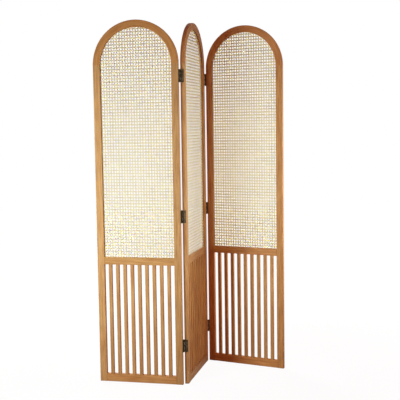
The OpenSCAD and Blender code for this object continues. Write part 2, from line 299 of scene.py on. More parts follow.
def streaks(tree, grain, size_mm, shift, detail=2.0):
    """Noise drawn out along the fibres: size_mm is about how wide and how long one streak is."""
    across_mm, along_mm = size_mm
    stretched = add_node(
        tree,
        "ShaderNodeMapping",
        {
            "Vector": grain,
            "Location": shift,
            "Scale": (1000 / across_mm, 1000 / across_mm, 1000 / along_mm),
        },
    ).outputs["Vector"]
    return add_node(
        tree,
        "ShaderNodeTexNoise",
        {"Vector": stretched, "Scale": 1.0, "Detail": detail, "Roughness": 0.55},
    ).outputs["Fac"]


def board_tone(tree, own, board_mm, offset_mm, seed):
    """One random number for each board: space is cut across the panel every board_mm.

    The first cut lies at offset_mm, and the seed is the number of the first board.
    """
    x = add_node(tree, "ShaderNodeSeparateXYZ", {0: own}).outputs["X"]
    counted = add_node(
        tree,
        "ShaderNodeMath",
        {0: x, 1: 1000 / board_mm, 2: seed - offset_mm / board_mm},
        operation="MULTIPLY_ADD",
    ).outputs[0]
    whole = add_node(tree, "ShaderNodeMath", {0: counted}, operation="FLOOR").outputs[0]
    return add_node(
        tree, "ShaderNodeTexWhiteNoise", {"W": whole}, noise_dimensions="1D"
    ).outputs["Value"]


def scaled_about_one(tree, value, reach):
    """Turns 0 to 1 into 1 - reach to 1 + reach."""
    return add_node(
        tree,
        "ShaderNodeMapRange",
        {"Value": value, "To Min": 1 - reach, "To Max": 1 + reach},
        clamp=True,
    ).outputs["Result"]


def product(tree, first, second):
    """Two numbers multiplied."""
    made = add_node(tree, "ShaderNodeMath", {0: first, 1: second}, operation="MULTIPLY")
    return made.outputs[0]


def lacquered_wood(name, panel, run, wood, seed, board_mm, offset_mm=0.0, painted_light_tint=UNTINTED):
    """Close-grained hardwood, planed and sanded, under a clear satin lacquer stained honey brown.

    The eye gets: soft streaks of figure 8 mm wide in broader bands, fine fibre under 1 mm, short
    dark pores, each board in a tone of its own, edges rubbed a little paler, and painted shade that
    darkens the corners between members. Space is cut into boards every board_mm from offset_mm on.
    """
    material, tree, output = empty_material(name)
    own = panel_coordinates(tree, panel)
    grain = grain_space(tree, own, run)
    # The seed shifts each pattern by another amount, so that no two boards share a cut of it.
    figure = streaks(tree, grain, FIGURE_MM, (seed * 1.3, 0.0, seed), 3.0)
    band = streaks(tree, grain, BAND_MM, (seed * 2.1, 3.0, seed))
    fibre = streaks(tree, grain, FIBRE_MM, (0.0, seed, 7.0))
    pore_noise = streaks(tree, grain, PORE_MM, (seed, 5.0, 2.0), 0.0)
    pores = add_node(
        tree,
        "ShaderNodeMapRange",
        {"Value": pore_noise, "From Min": 0.66, "From Max": 0.74},
        clamp=True,
    ).outputs["Result"]
    figure_colour = add_node(
        tree,
        "ShaderNodeMapRange",
        {"Value": figure, "From Min": 0.32, "From Max": 0.68},
        clamp=True,
    ).outputs["Result"]
    # The colour sockets of a Mix node stand after its number and vector ones.
    # The tint of each kind and of each single board is in part painted light and shade.
    tint = [stock * board_light_part for stock, board_light_part in zip(STOCK_TONE_AND_PAINTED_LIGHT[run], painted_light_tint)]
    dark = [part * share for part, share in zip(wood.dark_figure, tint)]
    pale = [part * share for part, share in zip(wood.pale_figure, tint)]
    base = add_node(
        tree,
        "ShaderNodeMix",
        {0: figure_colour, 6: (*dark, 1.0), 7: (*pale, 1.0)},
        data_type="RGBA",
    )
    board = board_tone(tree, own, board_mm, offset_mm, seed)
    tone = scaled_about_one(tree, board, BOARD_REACH)
    tone = product(tree, tone, scaled_about_one(tree, band, BAND_REACH))
    tone = product(tree, tone, scaled_about_one(tree, fibre, FIBRE_REACH))
    pore_shade = add_node(
        tree, "ShaderNodeMath", {0: pores, 1: -PORE_REACH, 2: 1.0}, operation="MULTIPLY_ADD"
    ).outputs[0]
    tone = product(tree, tone, pore_shade)
    # Within about 2 mm of an edge, where a rounded normal leaves the true one, hands have rubbed it.
    rounded = add_node(tree, "ShaderNodeBevel", {"Radius": 2.2 * MM}, samples=4).outputs[0]
    true_normal = add_node(tree, "ShaderNodeNewGeometry").outputs["Normal"]
    agreement = add_node(
        tree, "ShaderNodeVectorMath", {0: rounded, 1: true_normal}, operation="DOT_PRODUCT"
    ).outputs["Value"]
    worn = add_node(
        tree,
        "ShaderNodeMapRange",
        {"Value": agreement, "From Min": 0.99, "From Max": 0.82, "To Min": 1.0, "To Max": 1.16},
        clamp=True,
    ).outputs["Result"]
    tone = product(tree, tone, worn)
    # Painted shade: the wood is made darker within 5 mm of a corner between two members, where shade
    # falls.
    open_air = add_node(
        tree, "ShaderNodeAmbientOcclusion", {"Distance": 5 * MM}, samples=4
    ).outputs["AO"]
    painted_corner_shade = add_node(
        tree,
        "ShaderNodeMapRange",
        {"Value": open_air, "From Min": 0.2, "From Max": 0.95, "To Min": 0.62, "To Max": 1.0},
        clamp=True,
    ).outputs["Result"]
    tone = product(tree, tone, painted_corner_shade)
    shaded = add_node(
        tree, "ShaderNodeVectorMath", {0: base.outputs[2], "Scale": tone}, operation="SCALE"
    ).outputs["Vector"]
    relief = add_node(
        tree, "ShaderNodeMath", {0: pores, 1: -1.0, 2: fibre}, operation="MULTIPLY_ADD"
    ).outputs[0]
    bump = add_node(
        tree, "ShaderNodeBump", {"Height": relief, "Strength": 0.25, "Distance": 0.12 * MM}
    ).outputs["Normal"]
    shader = add_node(
        tree,
        "ShaderNodeBsdfPrincipled",
        {
            "Base Color": shaded,
            "Roughness": wood.roughness,
            "IOR": 1.5,
            "Specular IOR Level": 0.2,
            "Coat Weight": wood.lacquer,
            "Coat Roughness": 0.5,
            "Normal": bump,
        },
    )
    tree.links.new(shader.outputs[0], output.inputs["Surface"])
    return material


def split_cane(name, panel, cane, bark):
    """Split rattan: the smooth outer bark on the front of a strand, or its matt pith behind.

    The eye gets a straw colour that changes from strand to strand and drifts over some 60 mm, and
    soft specks. Real fibres are under 0.2 mm wide. The specks are drawn at 2.5 mm, or they would
    not show. Light goes a little way into a strand and comes out warmer.
    """
    material, tree, output = empty_material(name)
    own = panel_coordinates(tree, panel)
    strand = add_node(tree, "ShaderNodeAttribute", attribute_name="strand_tone")
    drift = add_node(
        tree, "ShaderNodeTexNoise", {"Vector": own, "Scale": 1000 / 60, "Detail": 2.0}
    ).outputs["Fac"]
    speckle = add_node(
        tree, "ShaderNodeTexNoise", {"Vector": own, "Scale": 1000 / 2.5, "Detail": 1.0}
    ).outputs["Fac"]
    pale = cane.bark_pale if bark else cane.pith_pale
    dark = cane.bark_dark if bark else cane.pith_dark
    base = add_node(
        tree,
        "ShaderNodeMix",
        {0: strand.outputs["Fac"], 6: (*dark, 1.0), 7: (*pale, 1.0)},
        data_type="RGBA",
    )
    tone = product(
        tree, scaled_about_one(tree, drift, 0.08), scaled_about_one(tree, speckle, 0.10)
    )
    shaded = add_node(
        tree, "ShaderNodeVectorMath", {0: base.outputs[2], "Scale": tone}, operation="SCALE"
    ).outputs["Vector"]
    bump = add_node(
        tree, "ShaderNodeBump", {"Height": speckle, "Strength": 0.3, "Distance": 0.1 * MM}
    ).outputs["Normal"]
    shader = add_node(
        tree,
        "ShaderNodeBsdfPrincipled",
        {
            "Base Color": shaded,
            "Roughness": 0.5 if bark else 0.8,
            "IOR": 1.5,
            "Specular IOR Level": 0.15,
            "Subsurface Weight": 1.0,
            "Subsurface Radius": (1.0, 0.85, 0.4),
            "Subsurface Scale": 0.9 * MM,
            "Normal": bump,
        },
    )
    tree.links.new(shader.outputs[0], output.inputs["Surface"])
    return material


def bronzed_steel(name, metal):
    """Steel hinge stock, chemically darkened to an aged bronze and waxed.

    The eye gets near-black brown with cloudy lighter rubs some 9 mm wide and a soft broken shine.
    The grit that breaks it is drawn at 0.8 mm, coarser than real, or it would not show.
    """
    material, tree, output = empty_material(name)
    at = add_node(tree, "ShaderNodeTexCoord").outputs["Object"]
    cloud = add_node(
        tree, "ShaderNodeTexNoise", {"Vector": at, "Scale": 1000 / 9, "Detail": 4.0}
    ).outputs["Fac"]
    grit = add_node(
        tree, "ShaderNodeTexNoise", {"Vector": at, "Scale": 1000 / 0.8, "Detail": 1.0}
    ).outputs["Fac"]
    spread = add_node(
        tree,
        "ShaderNodeMapRange",
        {"Value": cloud, "From Min": 0.35, "From Max": 0.7},
        clamp=True,
    ).outputs["Result"]
    base = add_node(
        tree,
        "ShaderNodeMix",
        {0: spread, 6: (*metal.patina, 1.0), 7: (*metal.rubbed, 1.0)},
        data_type="RGBA",
    )
    bump = add_node(
        tree, "ShaderNodeBump", {"Height": grit, "Strength": 0.2, "Distance": 0.05 * MM}
    ).outputs["Normal"]
    shader = add_node(
        tree,
        "ShaderNodeBsdfPrincipled",
        {"Base Color": base.outputs[2], "Metallic": 1.0, "Roughness": 0.48, "Normal": bump},
    )
    tree.links.new(shader.outputs[0], output.inputs["Surface"])
    return material


def dress(node_name, material):
    """Gives a node of the frame one material in all its slots."""
    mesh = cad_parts[node_name].data
    if not mesh.materials:
        mesh.materials.append(material)
    for slot in range(len(mesh.materials)):
        mesh.materials[slot] = material


class CaneSettings(bpy.types.PropertyGroup):
    """Sizes and colours of the six-way cane."""

    pitch_across: FloatProperty(
        name="Pitch across", description="Distance between upright pairs",
        default=14.46 * MM, unit="LENGTH",
    )
    pitch_up: FloatProperty(
        name="Pitch up", description="Distance between crosswise pairs",
        default=15.65 * MM, unit="LENGTH",
    )
    pair_spread: FloatProperty(
        name="Pair spread", description="Distance between the two strands of a pair",
        default=2.7 * MM, unit="LENGTH",
    )
    strand_width: FloatProperty(
        name="Strand width", description="Width of an upright or crosswise strand",
        default=2.3 * MM, unit="LENGTH",
    )
    diagonal_width: FloatProperty(
        name="Diagonal width", description="Width of a diagonal strand",
        default=2.5 * MM, unit="LENGTH",
    )
    strand_thickness: FloatProperty(
        name="Strand thickness", description="Thickness of a strand",
        default=0.5 * MM, unit="LENGTH",
    )
    bark_pale: FloatVectorProperty(
        name="Pale bark", description="Colour of the palest strands",
        default=linear("#F9F5CE"), subtype="COLOR", size=3, min=0.0, max=1.0,
    )
    bark_dark: FloatVectorProperty(
        name="Dark bark", description="Colour of the darkest strands",
        default=linear("#EFE7BC"), subtype="COLOR", size=3, min=0.0, max=1.0,
    )
    pith_pale: FloatVectorProperty(
        name="Pale pith", description="Colour of the palest strands on their inner side",
        default=linear("#F1EAC6"), subtype="COLOR", size=3, min=0.0, max=1.0,
    )
    pith_dark: FloatVectorProperty(
        name="Dark pith", description="Colour of the darkest strands on their inner side",
        default=linear("#E7DDB3"), subtype="COLOR", size=3, min=0.0, max=1.0,
    )


class WoodSettings(bpy.types.PropertyGroup):
    """Colours and finish of the lacquered wood."""

    dark_figure: FloatVectorProperty(
        name="Dark figure", description="Colour of the darker streaks",
        default=linear("#C38D4E"), subtype="COLOR", size=3, min=0.0, max=1.0,
    )
    pale_figure: FloatVectorProperty(
        name="Pale figure", description="Colour of the paler streaks",
        default=linear("#E1B570"), subtype="COLOR", size=3, min=0.0, max=1.0,
    )
    roughness: FloatProperty(
        name="Roughness", description="Roughness of the wood under its lacquer",
        default=0.6, min=0.0, max=1.0, subtype="FACTOR",
    )
    lacquer: FloatProperty(
        name="Lacquer", description="How much clear lacquer lies on the wood",
        default=0.03, min=0.0, max=1.0, subtype="FACTOR",
    )


class MetalSettings(bpy.types.PropertyGroup):
    """Colours of the bronzed hinges and screws."""

    patina: FloatVectorProperty(
        name="Patina", description="Colour of the darkened metal",
        default=linear("#33291C"), subtype="COLOR", size=3, min=0.0, max=1.0,
    )
    rubbed: FloatVectorProperty(
        name="Rubbed", description="Colour where the patina has worn",
        default=linear("#5A4A34"), subtype="COLOR", size=3, min=0.0, max=1.0,
    )


class StageSettings(bpy.types.PropertyGroup):
    """Light of the white studio."""

    key_power: FloatProperty(
        name="Key lamp", description="Power of the large soft lamp at the front left",
        default=11.0, min=0.0, unit="POWER",
    )
    side_power: FloatProperty(
        name="Side lamp", description="Power of the soft white lamp at the right, a little behind",
        default=5.2, min=0.0, unit="POWER",
    )
    fill_power: FloatProperty(
        name="Fill lamp", description="Power of the soft white lamp at the right, a little in front",
        default=1.5, min=0.0, unit="POWER",
    )
    key_colour: FloatVectorProperty(
        name="Key colour", description="Colour of the key lamp: a little cooler than white",
        default=(0.9, 0.98, 1.0), subtype="COLOR", size=3, min=0.0, max=1.0,
    )
    back_power: FloatProperty(
        name="Back lamp", description="Power of the soft white lamp behind the screen",
        default=46.0, min=0.0, unit="POWER",
    )
    sky_colour: FloatVectorProperty(
        name="Sky colour", description="Colour of the even light from all round",
        default=(1.0, 0.15, 0.12), subtype="COLOR", size=3, min=0.0, max=1.0,
    )
    sky: FloatProperty(
        name="Sky", description="Strength of the even light from all round",
        default=0.19, min=0.0, max=2.0, subtype="FACTOR",
    )


def strand_grid(low, high, step, lifts_at):
    """Sample places along strands that run from low to high, with the lift of each place.

    lifts_at lists (place, lift) within one step. The places repeat in each step over the longest
    reach, so that all the strands share their columns, and are clipped to each strand's own ends.
    """
    first = math.floor(np.min(low) / step) - 1
    last = math.ceil(np.max(high) / step) + 1
    steps = np.arange(first, last)[:, None]
    places = ((steps + lifts_at[None, :, 0]) * step).ravel()
    lifts = np.tile(lifts_at[:, 1], len(steps))
    clipped = np.clip(places[None, :], low[:, None], high[:, None])
    return clipped, np.broadcast_to(lifts, clipped.shape)


def strand_mesh(name, panel, centre, across, width, thickness, tones):
    """Split-cane strands: a flat underside and two sides that rise to a smooth crown.

    centre holds the middle line of every strand, strands by samples by xyz, and across the unit
    vector to one side. Three corners stand at each sample: left, right and crown. Samples that
    fell together at a strand's end carry no faces, and a triangle closes each end.
    """
    out = np.array([0.0, -1.0, 0.0])
    side = across * (width[:, None, None] / 2)
    under = centre - out * thickness / 2
    corners = np.stack([under - side, under + side, centre + out * thickness / 2], axis=2)
    strands, samples = centre.shape[:2]
    number = np.arange(strands * samples * 3).reshape(strands, samples, 3)
    length = np.linalg.norm(np.diff(centre, axis=1), axis=2)
    kept = length > SHORTEST_STRETCH
    start = number[:, :-1][kept]
    stop = number[:, 1:][kept]
    left, right, crown = 0, 1, 2
    quads = np.stack(
        [
            np.stack([start[:, left], stop[:, left], stop[:, right], start[:, right]], axis=1),
            np.stack([start[:, right], stop[:, right], stop[:, crown], start[:, crown]], axis=1),
            np.stack([start[:, crown], stop[:, crown], stop[:, left], start[:, left]], axis=1),
        ],
        axis=1,
    )
    rows = np.arange(strands)
    first = np.argmax(kept, axis=1)
    last = samples - 1 - np.argmax(kept[:, ::-1], axis=1)
    head = number[rows, first][:, [left, right, crown]]
    tail = number[rows, last][:, [left, crown, right]]
    used, packed = np.unique(
        np.concatenate([quads.ravel(), head.ravel(), tail.ravel()]), return_inverse=True
    )
    quad_count = quads.size // 4
    quad_faces = packed[: quads.size].reshape(-1, 4)
    cap_faces = packed[quads.size :].reshape(-1, 3)
    verts = in_screen_frame(corners.reshape(-1, 3)[used], panel)
    piece = add_mesh(name, verts, quad_faces.tolist() + cap_faces.tolist())
    mesh = piece.data
    under_side = np.zeros(len(mesh.polygons), np.int32)
    under_side[:quad_count:3] = 1
    mesh.polygons.foreach_set("material_index", under_side)
    tone = np.repeat(tones, samples * 3)[used].astype(np.float32)
    mesh.attributes.new("strand_tone", "FLOAT", "POINT").data.foreach_set("value", tone)
    # The two long lower edges stay crisp, and only the crown is shaded as round.
    ends = np.zeros(len(mesh.edges) * 2, np.int32)
    mesh.edges.foreach_get("vertices", ends)
    part = (used % 3)[ends.reshape(-1, 2)]
    crisp = (part[:, 0] != crown) & (part[:, 1] != crown)
    mesh.attributes.new("sharp_edge", "BOOLEAN", "EDGE").data.foreach_set("value", crisp)
    return piece


def arch_reach(across):
    """Highest z of the cane's outline at a distance across from the panel's middle line."""
    return SPRING_Z + np.sqrt(np.maximum(CANE_R**2 - across**2, 0.0))


def cross_reach(z):
    """Half the width of the cane's outline at a height z: straight, then round over the arch."""
    rise = np.maximum(z - SPRING_Z, 0.0)
    return np.sqrt(np.maximum(CANE_R**2 - rise**2, 0.0))


def diagonal_ends(offset, slope):
    """Lowest and highest x, from the middle line, of diagonals z = offset + slope * x.

    They end at the side, bottom or arch of the outline. Where one meets the arch, x solves the
    quadratic of the line and the circle round the arch's centre. The third array says which of
    them are long enough to be woven.
    """
    rise = offset - SPRING_Z
    square = 1 + slope**2
    under_root = np.maximum(slope**2 * rise**2 - square * (rise**2 - CANE_R**2), 0.0)
    root = np.sqrt(under_root)
    circle_low = (-slope * rise - root) / square
    circle_high = (-slope * rise + root) / square
    bottom = (CANE_LOW_Z - offset) / slope
    low = np.full_like(offset, -CANE_R)
    high = np.full_like(offset, CANE_R)
    z_low = offset + slope * low
    z_high = offset + slope * high
    low = np.where(z_low > SPRING_Z, circle_low, low)
    high = np.where(z_high > SPRING_Z, circle_high, high)
    low = np.where(slope > 0, np.maximum(low, bottom), low)
    high = np.where(slope < 0, np.minimum(high, bottom), high)
    return low, high, high - low > SHORTEST_STRAND


class SCREEN_OT_weave_cane(bpy.types.Operator):
    """Weaves the six-way cane of each panel: upright and crosswise pairs, and two sets of diagonals"""

    bl_idname = "screen.weave_cane"
    bl_label = "Weave Cane"

    def execute(self, context):
        cane = context.scene.screen_cane
        for number, panel in enumerate(PANELS):
            rng = np.random.default_rng(WEAVE_SEED + number)
            bark = split_cane(f"split cane bark, {panel}", panel, cane, True)
            pith = split_cane(f"split cane pith, {panel}", panel, cane, False)
            pieces = [
                self.pairs(panel, cane, rng, upright=True),
                self.pairs(panel, cane, rng, upright=False),
                self.diagonals(panel, cane, rng, rising=True),
                self.diagonals(panel, cane, rng, rising=False),
            ]
            for piece in pieces:
                piece.data.materials.append(bark)
                piece.data.materials.append(pith)
                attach(piece, panel)
                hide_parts(f"{panel}_cane")
        return {"FINISHED"}

    def pairs(self, panel, cane, rng, upright):
        """Upright or crosswise pairs.

        The first strand of a pair dips under the first strand that it meets at a crossing and
        rises over the second. The second strand does the opposite, so that they lock.
        """
        spread = cane.pair_spread / MM
        own_pitch, met_pitch = cane.pitch_across / MM, cane.pitch_up / MM
        if not upright:
            own_pitch, met_pitch = met_pitch, own_pitch
        thickness = cane.strand_thickness / MM
        lift = thickness / 2
        start_x, start_z = WEAVE_START[panel]
        near = spread / 2 / met_pitch
        # Place within one step of the strands that are met, and lift there, from -1 to 1.
        dips = np.array(
            [[-0.5, 0.0], [-0.28, -0.2], [-near, -1.0], [near, 1.0], [0.28, 0.2]]
        )
        # Places count from the crossing where the weave starts.
        if upright:
            lowest, highest = -CANE_R - start_x, CANE_R - start_x
        else:
            lowest, highest = CANE_LOW_Z - SPRING_Z - start_z, CANE_R - start_z
        first = math.ceil((lowest + spread) / own_pitch)
        last = math.floor((highest - spread) / own_pitch)
        middles = np.arange(first, last + 1) * own_pitch
        places = np.stack([middles - spread / 2, middles + spread / 2], axis=1).ravel()
        # No strand lies quite straight: each is about a tenth of a millimetre off its place.
        places = places + rng.normal(0, 0.12, len(places))
        if upright:
            low = np.full(len(places), CANE_LOW_Z - SPRING_Z - start_z)
            high = arch_reach(start_x + places) - SPRING_Z - start_z
        else:
            half = cross_reach(SPRING_Z + start_z + places)
            low, high = -half - start_x, half - start_x
        along, lifts = strand_grid(low, high, met_pitch, dips)
        # Upright firsts go under at the first crossing, so crosswise firsts go over there.
        turn = np.tile([1.0, -1.0], len(middles))[:, None] * (1.0 if upright else -1.0)
        y = CANE_Y - lifts * turn * lift
        fixed = np.broadcast_to(places[:, None], along.shape)
        if upright:
            x, z = fixed, along
            across = np.array([1.0, 0.0, 0.0])
        else:
            x, z = along, fixed
            across = np.array([0.0, 0.0, -1.0])
        centre = np.stack([PANEL_W / 2 + start_x + x, y, SPRING_Z + start_z + z], axis=2)
        width = cane.strand_width / MM * rng.uniform(0.93, 1.07, len(places))
        tones = rng.uniform(0.0, 1.0, len(places))
        name = f"{panel}_cane_{'uprights' if upright else 'crosswise'}"
        return strand_mesh(name, panel, centre, across, width, thickness, tones)

    def diagonals(self, panel, cane, rng, rising):
        """Single diagonals midway between the crossings of the pairs.

        A rising one lies over the upright pairs and under the crosswise pairs. A falling one does
        the opposite.
        """
        across_pitch, up_pitch = cane.pitch_across / MM, cane.pitch_up / MM
        start_x, start_z = WEAVE_START[panel]
        slope = up_pitch / across_pitch * (1 if rising else -1)
        reach = math.ceil(CANE_R * 2 / across_pitch + (SPRING_Z - CANE_LOW_Z) / up_pitch)
        offset = SPRING_Z + start_z - slope * start_x + (np.arange(-reach, reach) + 0.5) * up_pitch
        low, high, real = diagonal_ends(offset, slope)
        offset, low, high = offset[real], low[real], high[real]
        thickness = cane.strand_thickness / MM
        lift = thickness * (1.0 if rising else -1.0)
        # Place within one step of the upright pairs, and lift there, from -1 to 1.
        beds = np.array([[-0.36, -1.0], [-0.14, 1.0], [0.14, 1.0], [0.36, -1.0]])
        along, lifts = strand_grid(low - start_x, high - start_x, across_pitch, beds)
        y = CANE_Y - lifts * lift
        x = start_x + along
        z = offset[:, None] + slope * x
        centre = np.stack([PANEL_W / 2 + x, y, z], axis=2)
        slant = math.hypot(1.0, slope)
        across = np.array([slope / slant, 0.0, -1.0 / slant])
        width = cane.diagonal_width / MM * rng.uniform(0.93, 1.07, len(offset))
        tones = rng.uniform(0.0, 1.0, len(offset))
        name = f"{panel}_cane_{'rising' if rising else 'falling'}_diagonals"
        return strand_mesh(name, panel, centre, across, width, thickness, tones)


def screw_surface(columns=24):
    """Corners and faces of one countersunk screw, in millimetres, with its head on the plane 0.

    The surface runs round the axis by an angle and along a profile of radius and depth: flat head,
    cone, threaded shank and point. The head sinks where two crossed slots lie, and the shank's
    radius rises and falls once in each turn of the thread, shifted by the angle. The first
    coordinate is along the axis, outwards from the head.
    """
    angle = np.arange(columns) * 2 * math.pi / columns
    head = np.array(HEAD_RINGS)[:, None]
    off_arm = np.minimum(np.abs(np.cos(angle)), np.abs(np.sin(angle))) * head
    arm = np.clip((SLOT_HALF_W - off_arm) / SLOT_SOFT_EDGE, 0, 1)
    arm = arm * np.clip((SLOT_REACH - head) / SLOT_END, 0, 1)
    sink = arm * (SLOT_DEPTH - SLOT_RISE * head)
    depths = np.linspace(SHANK_START, SHANK_END, SHANK_RINGS)[:, None]
    turns = (depths / THREAD_PITCH + angle / (2 * math.pi)) % 1.0
    shank = SHANK_R - THREAD_DEPTH * np.abs(2 * turns - 1)
    radius = np.concatenate([np.broadcast_to(head, off_arm.shape), shank])
    depth = np.concatenate([sink, np.broadcast_to(depths, shank.shape)])
    ring = np.stack([-depth, radius * np.cos(angle), radius * np.sin(angle)], axis=2)
    poles = [[-SLOT_MIDDLE, 0.0, 0.0], [-POINT_DEPTH, 0.0, 0.0]]
    verts = np.concatenate([ring.reshape(-1, 3), poles])
    rows = len(ring)
    number = np.arange(rows * columns).reshape(rows, columns)
    after = np.roll(number, -1, axis=1)
    quads = np.stack([number[:-1], number[1:], after[1:], after[:-1]], axis=2).reshape(-1, 4)
    middle = np.full(columns, rows * columns)
    top = np.stack([middle, number[0], after[0]], axis=1)
    point = np.stack([middle + 1, after[-1], number[-1]], axis=1)
    return verts, quads, np.concatenate([top, point])


class SCREEN_OT_make_screws(bpy.types.Operator):
    """Turns the hinge screws: countersunk heads with crossed slots on threaded shanks"""

    bl_idname = "screen.make_screws"
    bl_label = "Make Screws"

    def execute(self, context):
        material = bronzed_steel("bronzed steel screws", context.scene.screen_metal)
        verts, quads, triangles = screw_surface()
        rng = np.random.default_rng(SCREW_SEED)
        for node_name, (panel, end, side) in SCREW_GROUPS.items():
            z, i = np.meshgrid(HINGE_ZS, np.arange(-1, 2), indexing="ij")
            z = (z + i * SCREW_PITCH).ravel()
            y = FRAME_T / 2 + side * SCREW_STAGGER * np.where(i.ravel() == 0, 1.0, -1.0)
            out = 1.0 if end == "right" else -1.0
            face = PANEL_W + HEAD_STANDOFF if end == "right" else -HEAD_STANDOFF
            # Each screw was driven home at a chance angle.
            turn = rng.uniform(0, math.pi / 2, len(z))[:, None]
            flat_u = verts[:, 1] * np.cos(turn) - verts[:, 2] * np.sin(turn)
            flat_v = verts[:, 1] * np.sin(turn) + verts[:, 2] * np.cos(turn)
            placed = np.stack(
                [
                    np.broadcast_to(face + out * verts[:, 0], flat_u.shape),
                    y[:, None] + out * flat_u,
                    z[:, None] + flat_v,
                ],
                axis=2,
            )
            start = (np.arange(len(z)) * len(verts))[:, None, None]
            faces = (quads + start).reshape(-1, 4).tolist()
            faces += (triangles + start).reshape(-1, 3).tolist()
            piece = add_mesh(
                node_name.replace("_screws", "_slotted_screws"),
                in_screen_frame(placed.reshape(-1, 3), panel),
                faces,
            )
            piece.data.set_sharp_from_angle(angle=math.radians(40))
            piece.data.materials.append(material)
            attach(piece, panel)
            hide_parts(node_name)
        return {"FINISHED"}


class SCREEN_OT_finish_frame(bpy.types.Operator):
    """Finishes stiles, arches, rails and cane beads in lacquered wood with the grain along each"""

    bl_idname = "screen.finish_frame"
    bl_label = "Finish Frame"

    def execute(self, context):
        wood = context.scene.screen_wood
        members = {
            "upright": ("left_stile", "right_stile", "left_bead", "right_bead"),
            "crosswise": ("mid_rail", "bottom_rail", "bottom_bead"),
            "arch": ("arch_rail", "arch_bead"),
        }
        for number, panel in enumerate(PANELS):
            for run, names in members.items():
                # The two stiles are two boards. A rail or an arch has one tone from end to end.
                board_mm = PANEL_W / 2 if run == "upright" else 2 * PANEL_W
                seed = 3 + 5 * number
                label = f"lacquered hardwood, {run} grain, {panel}"
                shared = lacquered_wood(label, panel, run, wood, seed, board_mm)
                for name in names:
                    material = shared
                    # Some boards get a tint of painted shade or painted light of their own.
                    tint = BOARD_PAINTED_LIGHT.get(f"{panel}_{name}")
                    if tint is not None:
                        material = lacquered_wood(
                            f"{label}, {name}", panel, run, wood, seed, board_mm, painted_light_tint=tint
                        )
                    dress(f"{panel}_{name}", material)
        return {"FINISHED"}


class SCREEN_OT_finish_slats(bpy.types.Operator):
    """Finishes the slats in the frame's wood, each slat in a tone of its own"""

    bl_idname = "screen.finish_slats"
    bl_label = "Finish Slats"

    def execute(self, context):
        wood = context.scene.screen_wood
        pitch = (OPENING_W - SLAT_COUNT * SLAT_W) / (SLAT_COUNT + 1) + SLAT_W
        for number, panel in enumerate(PANELS):
            label = f"lacquered hardwood slats, {panel}"
            seed = 40 + 3 * number
            material = lacquered_wood(label, panel, "upright", wood, seed, pitch, FRAME_W)
            dress(f"{panel}_slats", material)
        return {"FINISHED"}


class SCREEN_OT_finish_dowels(bpy.types.Operator):
    """Gives the hidden dowels bare beech"""

    bl_idname = "screen.finish_dowels"
    bl_label = "Finish Dowels"

    def execute(self, context):
        for panel in PANELS:
            dress(f"{panel}_dowels", self.bare_beech(panel))
        return {"FINISHED"}

    def bare_beech(self, panel):
        """Bare turned beech: pale pinkish straw with fine flecks, and no shine."""
        material, tree, output = empty_material(f"bare beech, {panel}")
        own = panel_coordinates(tree, panel)
        flecks = streaks(tree, own, (1.2, 6.0), (0.0, 0.0, 0.0))
        tone = scaled_about_one(tree, flecks, 0.12)
        straw = linear("#D9B98C")
        shaded = add_node(
            tree, "ShaderNodeVectorMath", {0: straw, "Scale": tone}, operation="SCALE"
        ).outputs["Vector"]
        shader = add_node(
            tree, "ShaderNodeBsdfPrincipled", {"Base Color": shaded, "Roughness": 0.75, "IOR": 1.5}
        )
        tree.links.new(shader.outputs[0], output.inputs["Surface"])
        return material


class SCREEN_OT_finish_hinges(bpy.types.Operator):
    """Finishes the leaves and pins of both folds in bronzed steel"""

    bl_idname = "screen.finish_hinges"
    bl_label = "Finish Hinges"

    def execute(self, context):
        material = bronzed_steel("bronzed steel", context.scene.screen_metal)
        for fold in FOLDS:
            for level in LEVELS:
                for part in ("fixed_leaf", "swing_leaf", "pin"):
                    dress(f"{fold}_{level}_{part}", material)
        return {"FINISHED"}


